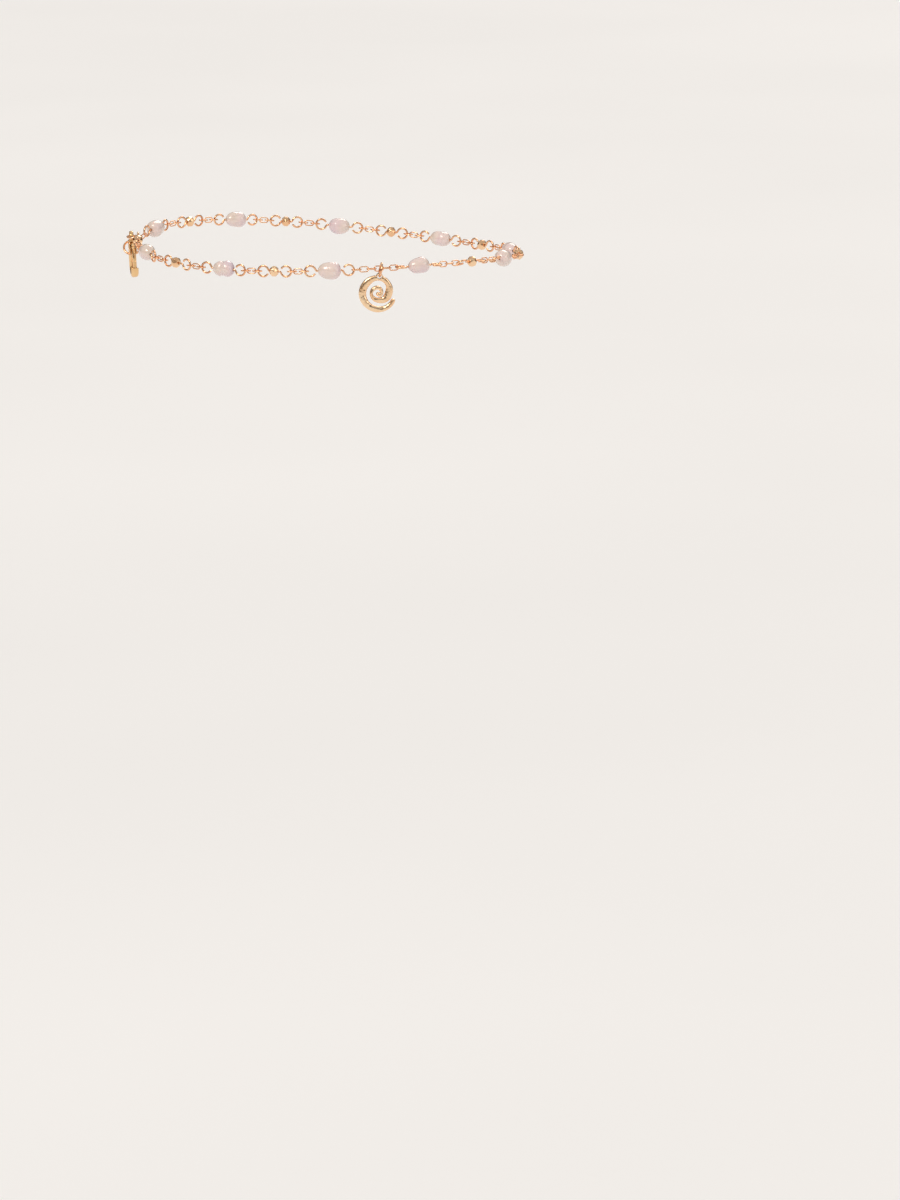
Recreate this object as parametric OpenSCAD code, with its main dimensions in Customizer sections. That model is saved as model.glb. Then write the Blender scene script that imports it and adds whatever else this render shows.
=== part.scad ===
// Anklet: baroque pearls and faceted gold beads on eye pins, joined by short runs of
// oval links, with a flat spiral drop in front and a lobster claw at the back.
// The origin is the middle of the loop. +X runs across the loop, -Y is the side with
// the drop, +Z is up. Sizes are in millimetres.

/* [Loop] */
// Width of the loop across X
loop_width = 81; // [79:0.5:83]
// Depth of the loop across Y
loop_depth = 66; // [65:0.5:67]
// How much higher the claw side hangs than the opposite side
tilt_rise = 1.5; // [0:0.1:3]
// Height of the two waves that the loop takes on its way round
wave_rise = 1.3; // [0:0.1:2]

/* [Pearls] */
// Wire centre to middle of the pin, from each eye of a pearl
pearl_reach = 3.95; // [3.85:0.05:4.1]
// Length of an average pearl along its pin
pearl_length = 4.7; // [4.2:0.1:4.8]
// Thickness of an average pearl
pearl_thick = 3.5; // [3:0.1:4]

/* [Gold beads] */
// Wire centre to middle of the pin, from each eye of a gold bead
bead_reach = 2.4; // [2.35:0.05:2.5]
// Length of a gold bead along its pin
bead_length = 1.75; // [1.5:0.05:1.8]
// Width of a gold bead across its corners
bead_width = 2.2; // [1.9:0.1:2.5]

/* [Wire] */
// Diameter of the pin wire
pin_wire = 0.42; // [0.38:0.01:0.45]
// Radius of an eye, at the middle of its wire
eye_radius = 1.1; // [1.05:0.05:1.15]
// Diameter of the link wire
link_wire = 0.25; // [0.22:0.01:0.26]
// Length of a link, outside
link_length = 2.18; // [2.16:0.01:2.2]
// Width of a link, outside
link_width = 1.32; // [1.2:0.02:1.4]
// Smallest gap between two pieces of wire
gap = 0.1; // [0.08:0.01:0.1]

/* [Spiral drop] */
// Radius of the spiral at its left side
spiral_radius = 3.85; // [3.6:0.05:3.9]
// Thickness of the spiral
spiral_thick = 1.1; // [0.9:0.1:1.2]
// Radius of the drop's jump ring, at the middle of its wire
drop_ring_radius = 1.35; // [1.32:0.01:1.4]

/* [Claw] */
// Height of the claw from its eye's centre to its foot
claw_drop = 8.65; // [8.4:0.05:8.8]
// Thickness of the claw
claw_thick = 1.6; // [1.5:0.1:1.7]
// Radius of the claw's own jump ring, at the middle of its wire
clasp_ring_radius = 1.5; // [1.4:0.05:1.6]
// Radius of the end ring held in the claw, at the middle of its wire
end_ring_radius = 1.7; // [1.68:0.01:1.75]

/* [Hidden] */
$fn = 36;
ring_wire = 0.46;
half_wide = loop_width / 2;
half_deep = loop_depth / 2;

// Arc length round the loop, counted from the middle of the -Y side
angle_step = 1;
angle_low = -130;
angle_high = 270;
function height_at(t) = wave_rise * sin(2 * t) - tilt_rise * sin(t);
function spot_at(t) = [half_wide * sin(t), -half_deep * cos(t), height_at(t)];
function step_length(t) = norm(spot_at(t + angle_step) - spot_at(t));
arc_table = [
    for (t = angle_low, s = 0; t <= angle_high; s = s + step_length(t), t = t + angle_step) [s, t]
];
angle_table = [for (row = arc_table) [row[1], row[0]]];
arc_start = lookup(0, angle_table);
loop_length = lookup(270, angle_table) - lookup(-90, angle_table);
function spot(s) = spot_at(lookup(s + arc_start, arc_table));

function unit(v) = v / norm(v);
function roll_gap(a) = a - 180 * round(a / 180);

// A piece seated at o with its own X along the direction x, Z as near to up as can be
module seat(o, x, roll = 0) {
    ex = unit(x);
    ey = unit(cross([0, 0, 1], ex));
    ez = cross(ex, ey);
    multmatrix([
        [ex[0], ey[0], ez[0], o[0]],
        [ex[1], ey[1], ez[1], o[1]],
        [ex[2], ey[2], ez[2], o[2]],
        [0, 0, 0, 1]
    ])
        rotate([roll, 0, 0]) children();
}

// Units in view: kind, place of the middle along the loop, turn of the first and the
// last eye about the pin (0 is upright, 90 lies flat), and how much further than usual
// each eye lies from the middle
KIND = 0;
PLACE = 1;
TURN_IN = 2;
TURN_OUT = 3;
LONGER = 4;
seen_units = [
    ["gold", -58.3, 0, 0, 0],
    ["pearl", -46.9, 0, 0, 0],
    ["gold", -34.6, 0, 0, 0.35],
    ["pearl", -22.6, 0, 0, 0],
    ["gold", -11.2, 0, 0, 0],
    ["pearl", 0.2, 0, 0, 0],
    ["pearl", 19.2, 90, 90, 0],
    ["gold", 32.15, 60, 90, 0.2],
    ["pearl", 43.8, 60, 90, 0],
    ["gold", 55.2, 90, 0, 0]
];
seen_count = len(seen_units);
hidden_count = 9;
// Length of loop that the claw bridges, from the middle of the last unit to the first
claw_span = 13.45;
last_seen = seen_units[seen_count - 1][PLACE];
hidden_length = loop_length + seen_units[0][PLACE] - claw_span - last_seen;
hidden_pitch = hidden_length / hidden_count;
hidden_units = [
    for (i = [1 : hidden_count]) [i % 2 == 1 ? "pearl" : "gold", last_seen + i * hidden_pitch, 0, 0, 0]
];
units = concat(seen_units, hidden_units);
pearls = [for (u = units) if (u[KIND] == "pearl") u];
golds = [for (u = units) if (u[KIND] == "gold") u];
pearl_count = len(pearls);
gold_count = len(golds);

function reach(u) = (u[KIND] == "pearl" ? pearl_reach : bead_reach) + u[LONGER];
function along(u) = unit(spot(u[PLACE] + reach(u)) - spot(u[PLACE] - reach(u)));
function middle(u) = (spot(u[PLACE] + reach(u)) + spot(u[PLACE] - reach(u))) / 2;
function first_eye(u) = middle(u) - reach(u) * along(u);
function last_eye(u) = middle(u) + reach(u) * along(u);

// Runs of links between two points on the wires that they hold
link_reach = link_length - link_wire;
link_radius = (link_width - link_wire) / 2;
pendant_links = 6;
plain_links = 3;
function end_reach(wire) = link_reach / 2 - (wire + link_wire) / 2 - gap;
function taut_run(n, wire_a, wire_b) =
    end_reach(wire_a) + end_reach(wire_b) + (n - 1) * (link_reach - link_wire - gap);
function run_slack(a, b, n, wire_a, wire_b) = (taut_run(n, wire_a, wire_b) - norm(b - a)) / (n + 1);
most_slack = 0.355;

module link() {
    straight = link_reach / 2 - link_radius;
    for (side = [0, 180])
        rotate([0, 0, side]) {
            translate([straight, 0, 0])
                rotate_extrude(angle = 180, start = -90)
                    translate([link_radius, 0]) circle(d = link_wire);
            translate([-straight, link_radius, 0])
                rotate([0, 90, 0]) cylinder(d = link_wire, h = 2 * straight);
        }
}

module link_run(a, b, n, wire_a, wire_b, turn_a, turn_b) {
    slack = run_slack(a, b, n, wire_a, wire_b);
    assert(slack > -0.01 && slack < most_slack, str("run out of reach ", slack));
    twist = roll_gap(turn_b - turn_a - 90 * (n + 1));
    first = end_reach(wire_a) - slack;
    pitch = link_reach - link_wire - gap - slack;
    for (k = [0 : n - 1])
        seat(a + (first + k * pitch) * unit(b - a), b - a, turn_a + (90 + twist / (n + 1)) * (k + 1) + 90)
            link();
}

module unit_run(i) {
    from = units[i];
    to = units[i + 1];
    n = from[KIND] == to[KIND] ? pendant_links : plain_links;
    link_run(
        last_eye(from) + eye_radius * along(from), first_eye(to) - eye_radius * along(to),
        n, pin_wire, pin_wire, from[TURN_OUT], to[TURN_IN]
    );
}

module near_links() {
    color("#e6aa78")
        for (i = [0 : seen_count - 2]) unit_run(i);
}

module far_links() {
    color("#e6aa78") {
        for (i = [seen_count - 1 : len(units) - 2]) unit_run(i);
        link_run(end_eye_wire, end_ring_wire, end_links, pin_wire, ring_wire, 0, end_ring_turn);
    }
}

// Pins: a stem with an open eye at each end
eye_sweep = 328;
module eye() {
    rotate([90, 0, 0])
        rotate_extrude(angle = eye_sweep, start = 180)
            translate([eye_radius, 0]) circle(d = pin_wire);
}

module pin(u) {
    stem = reach(u) - eye_radius;
    color("#e6aa78")
        seat(middle(u), along(u)) {
            translate([-stem, 0, 0]) rotate([0, 90, 0]) cylinder(d = pin_wire, h = 2 * stem);
            translate([reach(u), 0, 0]) rotate([u[TURN_OUT], 0, 0]) eye();
            translate([-reach(u), 0, 0]) rotate([u[TURN_IN], 0, 0]) rotate([0, 180, 0]) eye();
        }
}

module drill(length) {
    rotate([0, 90, 0]) cylinder(d = pin_wire + 2 * gap, h = length, center = true);
}

// Pearls: length, thickness upward, thickness inward, taper, waist, lump and its side, and
// how blunt the end towards the last eye is
P_LENGTH = 0;
P_TALL = 1;
P_DEEP = 2;
P_TAPER = 3;
P_WAIST = 4;
P_LUMP = 5;
P_SIDE = 6;
P_BLUNT = 7;
round_end = 2.3;
pearl_forms = [
    [0.99, 0.99, 0.97, 0.05, 0.00, 0.05, 120, 2.3],
    [1.02, 1.02, 0.96, 0.12, 0.10, 0.06, 60, 2.5],
    [1.02, 1.04, 0.98, 0.08, 0.00, 0.05, 250, 3.2],
    [0.99, 1.00, 0.96, 0.16, 0.03, 0.10, 70, 2.3],
    [0.94, 1.03, 1.02, -0.06, 0.00, 0.07, 300, 2.3],
    [1.00, 0.98, 1.00, 0.08, 0.05, 0.06, 200, 2.3],
    [1.02, 0.96, 0.94, -0.10, 0.06, 0.07, 20, 2.6],
    [0.97, 1.02, 1.00, 0.04, 0.00, 0.08, 330, 2.3],
    [1.00, 1.00, 0.96, -0.12, 0.04, 0.06, 140, 2.3],
    [0.98, 1.04, 1.00, 0.10, 0.00, 0.07, 260, 2.8]
];
pearl_rows = 10;
pearl_sides = 14;
// Where row k lies along the pearl, from -1 to 1, and how full the pearl is there
function row_place(k) = -cos(180 * k / pearl_rows);
function fullness(form, x) =
    pow(max(0, 1 - pow(abs(x), x > 0 ? form[P_BLUNT] : round_end)), 0.5)
    * (1 + form[P_TAPER] * x - form[P_WAIST] * exp(-18 * x * x));
function lump(form, x, a) = 1 + form[P_LUMP] * exp(-4 * pow(x - 0.3, 2)) * cos(a - form[P_SIDE]);
function pearl_point(form, x, a) = let (
    swell = fullness(form, x) * lump(form, x, a) * pearl_thick / 2
) [x * form[P_LENGTH] * pearl_length / 2, swell * form[P_DEEP] * cos(a), swell * form[P_TALL] * sin(a)];
function pearl_points(form) = concat(
    [[-form[P_LENGTH] * pearl_length / 2, 0, 0]],
    [for (k = [1 : pearl_rows - 1], j = [0 : pearl_sides - 1])
        pearl_point(form, row_place(k), 360 * j / pearl_sides)],
    [[form[P_LENGTH] * pearl_length / 2, 0, 0]]
);
// Faces of a closed tube of rows with a point at each end
function tube_faces(rows, sides) = let (last = rows * sides + 1) concat(
    [for (j = [0 : sides - 1]) [0, 1 + j, 1 + (j + 1) % sides]],
    [for (k = [0 : rows - 2], j = [0 : sides - 1])
        [1 + k * sides + j, 1 + (k + 1) * sides + j, 1 + (k + 1) * sides + (j + 1) % sides]],
    [for (k = [0 : rows - 2], j = [0 : sides - 1])
        [1 + k * sides + j, 1 + (k + 1) * sides + (j + 1) % sides, 1 + k * sides + (j + 1) % sides]],
    [for (j = [0 : sides - 1]) [last, 1 + (rows - 1) * sides + (j + 1) % sides, 1 + (rows - 1) * sides + j]]
);

module pearl(i) {
    u = pearls[i];
    color("#e8ddd4")
        seat(middle(u), along(u))
            difference() {
                polyhedron(pearl_points(pearl_forms[i]), tube_faces(pearl_rows - 1, pearl_sides));
                drill(2 * pearl_length);
            }
}

// Gold beads: eight corners to a row, each row turned half a corner from the last
bead_sides = 8;
bead_end = 0.55;
bead_waist = 0.38;
bead_slide = 0.12;
bead_rows = [[-1, bead_end], [-bead_waist, 1], [bead_waist, 1], [1, bead_end]];
bead_points = concat(
    [[-bead_length / 2, 0, 0]],
    [for (k = [0 : len(bead_rows) - 1], j = [0 : bead_sides - 1]) let (a = 360 * (j + k / 2) / bead_sides) [
        bead_rows[k][0] * bead_length / 2,
        bead_rows[k][1] * bead_width / 2 * cos(a),
        bead_rows[k][1] * bead_width / 2 * sin(a)
    ]],
    [[bead_length / 2, 0, 0]]
);

module gold_bead(i) {
    u = golds[i];
    // The bead lies against the eye that is further from the drop
    away = u[PLACE] > 10.8 ? 1 : -1;
    color("#f0b884")
        seat(middle(u) + away * (bead_slide + u[LONGER]) * along(u), along(u))
            difference() {
                polyhedron(bead_points, tube_faces(len(bead_rows), bead_sides));
                drill(2 * bead_length);
            }
}

// The drop hangs from the fourth link of the long run between two pearls
drop_from = 5;
drop_first = last_eye(units[drop_from]) + eye_radius * along(units[drop_from]);
drop_last = first_eye(units[drop_from + 1]) - eye_radius * along(units[drop_from + 1]);
drop_place = 5.6;
drop_spot = drop_first + drop_place * unit(drop_last - drop_first);
drop_sag = 0.3;
drop_turn = 5;
drop_lean = 10;
// The drop's own frame: its jump ring lies across X and leans over to X at its top
module at_drop() {
    translate(drop_spot) rotate([0, 0, drop_turn]) children();
}

module pendant_ring() {
    color("#e6aa78")
        at_drop()
            translate([0, 0, -drop_sag])
                rotate([0, 90 + drop_lean, 0])
                    rotate_extrude() translate([drop_ring_radius, 0]) circle(d = ring_wire);
}

// Spiral: the band's middle line winds inward, and its width changes on the way
ear_bore = 0.49;
ear_rim = 0.22;
ear_thick = 0.9;
// The ring's lowest point, where the ear hangs
ear_side = -drop_ring_radius * sin(drop_lean);
ear_low = drop_sag + drop_ring_radius * cos(drop_lean) + 0.06;
spiral_top = 1.32;
spiral_centre = [ear_side - 0.28, -(spiral_top + spiral_radius)];
spiral_start = -20;
spiral_turns = 745;
spiral_steps = 64;
spiral_sides = 10;
// Turn from the outer end, then the radii of the band's outer and inner edge
spiral_table = [
    [0, 3.86, 2.86],
    [25, 3.95, 2.96],
    [70, 3.98, 2.72],
    [115, 3.95, 2.58],
    [160, 4.05, 2.5],
    [205, 3.95, 2.45],
    [250, 3.75, 2.65],
    [295, 3.42, 2.25],
    [340, 3.05, 1.4],
    [385, 2.6, 1.15],
    [430, 2.0, 0.92],
    [475, 1.84, 1.0],
    [520, 1.78, 1.12],
    [565, 1.7, 0.92],
    [610, 1.56, 0.78],
    [655, 1.25, 0.53],
    [700, 1.04, 0.32],
    [745, 0.9, 0.14]
];
outer_table = [for (row = spiral_table) [row[0], row[1]]];
inner_table = [for (row = spiral_table) [row[0], row[2]]];
blend_step = 18;
function smooth_lookup(v, table) =
    (lookup(v - blend_step, table) + 2 * lookup(v, table) + lookup(v + blend_step, table)) / 4;
function spiral_turn(k) = spiral_turns * k / spiral_steps;
function spiral_width(v) = smooth_lookup(v, outer_table) - smooth_lookup(v, inner_table);
function spiral_line(v) = let (
    r = (smooth_lookup(v, outer_table) + smooth_lookup(v, inner_table)) / 2,
    a = spiral_start - v
) [r * cos(a), r * sin(a)];
// The band's outer end is rounded off
function end_round(k) = k == 0 ? 0.86 : 1;
function spiral_ring(k) = let (
    v = spiral_turn(k),
    c = spiral_line(v),
    heading = spiral_line(v + 1) - spiral_line(v - 1),
    out = [heading[1], -heading[0]] / norm(heading),
    w = spiral_width(v) * end_round(k) / 2,
    h = spiral_thick * end_round(k) / 2
) [for (j = [0 : spiral_sides - 1]) let (a = 360 * (j + 0.5) / spiral_sides) [
    spiral_centre[0] + c[0] + out[0] * w * cos(a),
    h * sin(a),
    spiral_centre[1] + c[1] + out[1] * w * cos(a)
]];
function spiral_cap(k) = let (c = spiral_line(spiral_turn(k))) [spiral_centre[0] + c[0], 0, spiral_centre[1] + c[1]];
spiral_points = concat(
    [spiral_cap(0)],
    [for (k = [0 : spiral_steps], p = spiral_ring(k)) p],
    [spiral_cap(spiral_steps)]
);

// The band's inner end curls on to a rounded tip
tip_radius = 0.37;
tip_reach = [-0.12, -0.14];
module spiral_tip() {
    start = spiral_line(spiral_turns);
    hull()
        for (spot = [start, tip_reach])
            translate([spiral_centre[0] + spot[0], 0, spiral_centre[1] + spot[1]])
                scale([1, spiral_thick / (2 * tip_radius), 1]) sphere(r = tip_radius, $fn = 12);
}

module pendant_spiral() {
    color("#f0b884")
        at_drop()
            difference() {
                union() {
                    polyhedron(spiral_points, tube_faces(spiral_steps + 1, spiral_sides));
                    spiral_tip();
                    translate([ear_side, 0, -ear_low])
                        rotate([90, 0, 0])
                            cylinder(r = ear_bore + ear_rim, h = ear_thick, center = true);
                }
                translate([ear_side, 0, -ear_low])
                    rotate([90, 0, 0]) cylinder(r = ear_bore, h = 2 * spiral_thick, center = true);
            }
}

// Claw: the first pin's outer eye holds the clasp ring, which holds the claw's eye
clasp_lean = 28;
first_unit = units[0];
clasp_eye_seat = 0.25;
clasp_way = [-sin(clasp_lean), cos(clasp_lean), 0];
clasp_wire_spot = first_eye(first_unit) + clasp_eye_seat * clasp_way;
clasp_ring_spot = clasp_wire_spot + clasp_ring_radius * clasp_way;
claw_wire_spot = clasp_wire_spot + 2 * clasp_ring_radius * clasp_way;
claw_bore = 0.8;
claw_eye_sag = 0.22;
claw_spot = claw_wire_spot - [0, 0, claw_eye_sag];

module clasp_ring() {
    color("#e6aa78")
        seat(clasp_ring_spot, clasp_way)
            rotate_extrude() translate([clasp_ring_radius, 0]) circle(d = ring_wire);
}

// The claw's own frame: X towards the drop's side of the loop, Y through its plate and
// Z up, turned a little to the ring that it hangs on, with its foot towards the loop's middle
claw_turn = 8;
claw_tilt = 4;
claw_out = [sin(claw_turn) * cos(claw_tilt), -cos(claw_turn), sin(claw_turn) * sin(claw_tilt)];
claw_across = [cos(claw_turn) * cos(claw_tilt), sin(claw_turn), cos(claw_turn) * sin(claw_tilt)];
claw_up = [-sin(claw_tilt), 0, cos(claw_tilt)];
module at_claw() {
    multmatrix([
        [claw_out[0], claw_across[0], claw_up[0], claw_spot[0]],
        [claw_out[1], claw_across[1], claw_up[1], claw_spot[1]],
        [claw_out[2], claw_across[2], claw_up[2], claw_spot[2]],
        [0, 0, 0, 1]
    ])
        children();
}

module plate(thick) {
    rotate([90, 0, 0]) linear_extrude(height = thick, center = true) children();
}

claw_eye_radius = 1.28;
claw_eye_thick = 0.9;
claw_belly = 2.25;
claw_foot = claw_drop - claw_belly;
pivot_x = 0.95;
pivot_z = -1.95;
pivot_radius = 0.3;
pivot_play = 0.06;
lever_thick = 0.8;
lever_play = 0.1;
gate_reach = 4.6;
tip_play = 0.12;

module claw_outline() {
    hull() {
        translate([0.15, -1.75]) circle(r = 1.45);
        translate([0, -claw_foot]) circle(r = claw_belly);
    }
}

module claw_opening() {
    hull() {
        translate([0.1, -3.8]) circle(r = 0.75);
        translate([-0.05, -claw_foot]) circle(r = 1.15);
    }
}

// The side of the claw that the lever closes, down to the face of the hook's tip
module gate_side() {
    intersection() {
        polygon([[0.5, -3.35], [3.2, -3.35], [3.2, -7], [0.5, -7]]);
        translate([pivot_x, pivot_z]) circle(r = gate_reach);
    }
}

module clasp_body() {
    color("#e6aa78")
        at_claw()
            difference() {
                union() {
                    difference() {
                        union() {
                            plate(claw_thick) claw_outline();
                            rotate([90, 0, 0])
                                cylinder(r = claw_eye_radius, h = claw_eye_thick, center = true);
                        }
                        plate(2 * claw_thick) claw_opening();
                        plate(2 * claw_thick) gate_side();
                        // Slot that the lever's head turns in
                        plate(lever_thick + 2 * lever_play)
                            polygon([[0.05, -3.5], [0.05, -1.15], [0.5, -0.85], [3, -0.85], [3, -3.5]]);
                    }
                    translate([pivot_x, 0, pivot_z])
                        rotate([90, 0, 0]) cylinder(r = pivot_radius, h = claw_thick, center = true);
                }
                rotate([90, 0, 0]) cylinder(r = claw_bore, h = 2 * claw_thick, center = true);
            }
}

module clasp_lever() {
    color("#f0b884")
        at_claw()
            difference() {
                plate(lever_thick)
                    intersection() {
                        polygon([
                            [0.35, -2.15], [0.4, -1.6], [0.85, -1.3], [1.3, -1.2], [1.9, -0.95], [2.5, -0.95],
                            [2.75, -1.25], [2.6, -1.6], [1.95, -1.85], [1.75, -2.3], [2.05, -3.2], [2.18, -4.3],
                            [2.18, -6.8], [1.4, -6.8], [1.3, -4.3], [1.1, -3.3], [0.75, -2.6]
                        ]);
                        translate([pivot_x, pivot_z]) circle(r = gate_reach - tip_play);
                    }
                translate([pivot_x, 0, pivot_z])
                    rotate([90, 0, 0])
                        cylinder(r = pivot_radius + pivot_play, h = 2 * lever_thick, center = true);
            }
}

// End ring: held in the claw's opening and drawn towards the last pin
end_links = 2;
end_hold = [0, -3.75];
last_unit = units[len(units) - 1];
end_eye = last_eye(last_unit);
end_hold_spot = claw_spot + end_hold[0] * claw_out + end_hold[1] * claw_up;
// The ring stands square to the claw's plate, and its plane goes through the last eye
end_far = end_eye - end_hold_spot;
end_way = unit(end_far - (end_far * claw_across) * claw_across);
end_ring_spot = end_hold_spot + end_ring_radius * end_way;
end_pull = unit(end_ring_spot - end_eye);
end_ring_wire = end_ring_spot - end_ring_radius * end_pull;
// Turn about x of the plane that holds x and t
function plane_turn(x, t) = let (ey = unit(cross([0, 0, 1], x)), ez = cross(x, ey)) atan2(-t * ey, t * ez);
end_ring_turn = plane_turn(end_pull, claw_across);
// The run pulls at the eye in the eye's own upright plane
end_level = unit(cross([0, 0, 1], along(last_unit)));
end_eye_wire = end_eye + eye_radius * unit(end_pull - (end_pull * end_level) * end_level);

module end_ring() {
    color("#e6aa78")
        seat(end_ring_spot, end_way, plane_turn(end_way, claw_across) + 90)
            rotate_extrude() translate([end_ring_radius, 0]) circle(d = ring_wire);
}

for (i = [1 : pearl_count]) pearl(i - 1);
for (i = [1 : gold_count]) gold_bead(i - 1);
for (i = [1 : pearl_count]) pin(pearls[i - 1]);
for (i = [1 : gold_count]) pin(golds[i - 1]);
near_links();
far_links();
pendant_ring();
pendant_spiral();
clasp_ring();
clasp_body();
clasp_lever();
end_ring();
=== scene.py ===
"""Looks of the anklet: pearls and faceted gold beads on eye pins, joined by short runs of
links, with a flat spiral drop in front and a lobster claw at the left.

Shapes are worked out in millimetres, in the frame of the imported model, and every finished
piece is scaled to metres with its place in its mesh.
"""

import math

import bmesh
import bpy
from mathutils import Matrix, Vector, noise


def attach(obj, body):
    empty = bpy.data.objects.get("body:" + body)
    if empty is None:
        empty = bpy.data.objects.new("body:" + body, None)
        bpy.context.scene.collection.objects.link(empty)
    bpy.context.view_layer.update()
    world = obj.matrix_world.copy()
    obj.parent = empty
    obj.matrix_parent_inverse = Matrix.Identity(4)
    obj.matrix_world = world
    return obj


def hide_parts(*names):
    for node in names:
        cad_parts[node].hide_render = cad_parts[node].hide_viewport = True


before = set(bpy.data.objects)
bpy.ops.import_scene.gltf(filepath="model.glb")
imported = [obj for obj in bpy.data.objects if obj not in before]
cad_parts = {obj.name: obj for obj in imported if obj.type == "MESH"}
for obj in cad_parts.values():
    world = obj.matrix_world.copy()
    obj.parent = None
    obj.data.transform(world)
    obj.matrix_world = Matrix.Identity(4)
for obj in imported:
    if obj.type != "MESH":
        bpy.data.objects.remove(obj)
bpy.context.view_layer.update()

MM = 0.001

# Sizes of the loop and its pieces, in millimetres, as the model has them
HALF_WIDE = 40.5
HALF_DEEP = 33.0
TILT_RISE = 1.5
WAVE_RISE = 1.3
PEARL_REACH = 3.95
PEARL_LENGTH = 4.7
PEARL_THICK = 3.5
BEAD_REACH = 2.4
BEAD_LENGTH = 1.75
BEAD_WIDTH = 2.2
PIN_WIRE = 0.42
EYE_RADIUS = 1.1
LINK_WIRE = 0.25
LINK_LENGTH = 2.18
LINK_WIDTH = 1.32
GAP = 0.1
RING_WIRE = 0.46
CLAW_SPAN = 13.45

# Kind, place along the loop, turn of the first and of the last eye, extra reach
SEEN_UNITS = [
    ("gold", -58.3, 0, 0, 0),
    ("pearl", -46.9, 0, 0, 0),
    ("gold", -34.6, 0, 0, 0.35),
    ("pearl", -22.6, 0, 0, 0),
    ("gold", -11.2, 0, 0, 0),
    ("pearl", 0.2, 0, 0, 0),
    ("pearl", 19.2, 90, 90, 0),
    ("gold", 32.15, 60, 90, 0.2),
    ("pearl", 43.8, 60, 90, 0),
    ("gold", 55.2, 90, 0, 0),
]


def sin(degrees):
    return math.sin(math.radians(degrees))


def cos(degrees):
    return math.cos(math.radians(degrees))


def spot_at(t):
    """The loop's middle line at an angle from its front."""
    rise = WAVE_RISE * sin(2 * t) - TILT_RISE * sin(t)
    return Vector((HALF_WIDE * sin(t), -HALF_DEEP * cos(t), rise))


# Degrees round the loop from its front, and the length of the middle line up to each
ANGLES = range(-130, 271)
CLASP_ANGLE = -90
ARCS = [0.0]
for turn in ANGLES[:-1]:
    ARCS.append(ARCS[-1] + (spot_at(turn + 1) - spot_at(turn)).length)


def read_table(value, keys, values):
    """The straight-line reading of a table, held at its ends."""
    if value <= keys[0]:
        return values[0]
    for k in range(1, len(keys)):
        if value <= keys[k]:
            share = (value - keys[k - 1]) / (keys[k] - keys[k - 1])
            return values[k - 1] + share * (values[k] - values[k - 1])
    return values[-1]


ARC_START = read_table(0, ANGLES, ARCS)
LOOP_LENGTH = read_table(CLASP_ANGLE + 360, ANGLES, ARCS) - read_table(CLASP_ANGLE, ANGLES, ARCS)


def spot(s):
    """The loop's middle line at a length from its front."""
    return spot_at(read_table(s + ARC_START, ARCS, ANGLES))


def turned_about(axis, degrees):
    return Matrix.Rotation(math.radians(degrees), 4, axis)


def seat(origin, along, roll=0.0):
    """Local X along a direction, Z as near to up as can be, then turned about X."""
    x = along.normalized()
    y = Vector((0, 0, 1)).cross(x).normalized()
    z = x.cross(y)
    turned = Matrix((x, y, z)).transposed().to_4x4()
    return Matrix.Translation(origin) @ turned @ turned_about("X", roll)


class Unit:
    """A pearl or gold bead with its pin."""

    def __init__(self, kind, place, turn_in, turn_out, longer):
        self.kind = kind
        self.place = place
        self.turn_in = turn_in
        self.turn_out = turn_out
        self.longer = longer
        self.reach = (PEARL_REACH if kind == "pearl" else BEAD_REACH) + longer
        ahead, behind = spot(place + self.reach), spot(place - self.reach)
        self.along = (ahead - behind).normalized()
        self.middle = (ahead + behind) / 2
        self.first_eye = self.middle - self.reach * self.along
        self.last_eye = self.middle + self.reach * self.along


# The hidden side carries this many more, at one pitch
HIDDEN_COUNT = 9
last_place = SEEN_UNITS[-1][1]
hidden_pitch = (LOOP_LENGTH + SEEN_UNITS[0][1] - CLAW_SPAN - last_place) / HIDDEN_COUNT
units = [Unit(*row) for row in SEEN_UNITS]
for i in range(1, HIDDEN_COUNT + 1):
    units.append(Unit("pearl" if i % 2 else "gold", last_place + i * hidden_pitch, 0, 0, 0))


# Trees and materials
def linear(code):
    """An sRGB hex value as a linear colour."""
    parts = [int(code[i : i + 2], 16) / 255 for i in (1, 3, 5)]
    return [c / 12.92 if c <= 0.04045 else ((c + 0.055) / 1.055) ** 2.4 for c in parts] + [1.0]


def join(tree, made, wires):
    """Sets or links a node's inputs, named or in their order. A node among the values stands
    for its first output."""
    for key, value in wires.items() if isinstance(wires, dict) else enumerate(wires):
        if isinstance(value, bpy.types.Node):
            value = value.outputs[0]
        if isinstance(value, bpy.types.NodeSocket):
            tree.links.new(value, made.inputs[key])
        else:
            made.inputs[key].default_value = value


def add(tree, kind, wires=(), stops=(), line=(), **settings):
    """Adds a node with its settings and inputs. Stops are a ramp's places and colours, and
    line is a curve's points."""
    made = tree.nodes.new(kind)
    for key, value in settings.items():
        setattr(made, key, value)
    join(tree, made, wires)
    for k, (at, code) in enumerate(stops):
        steps = made.color_ramp.elements
        step = steps[k] if k < 2 else steps.new(at)
        step.position = at
        step.color = linear(code)
    if line:
        points = made.mapping.curves[0].points
        points[0].location, points[1].location = line[0], line[-1]
        for x, y in line[1:-1]:
            points.new(x, y)
        made.mapping.update()
    return made


MATH = "ShaderNodeMath"
VECTOR_MATH = "ShaderNodeVectorMath"
CURVE = "ShaderNodeFloatCurve"
NOISE = "ShaderNodeTexNoise"
RAMP = "ShaderNodeValToRGB"
SPREAD = "ShaderNodeMapRange"
BUMP = "ShaderNodeBump"
APART = "ShaderNodeSeparateXYZ"
# Nearly all values of a noise lie in this range
NOISE_RANGE = {"From Min": 0.3, "From Max": 0.7}


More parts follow.
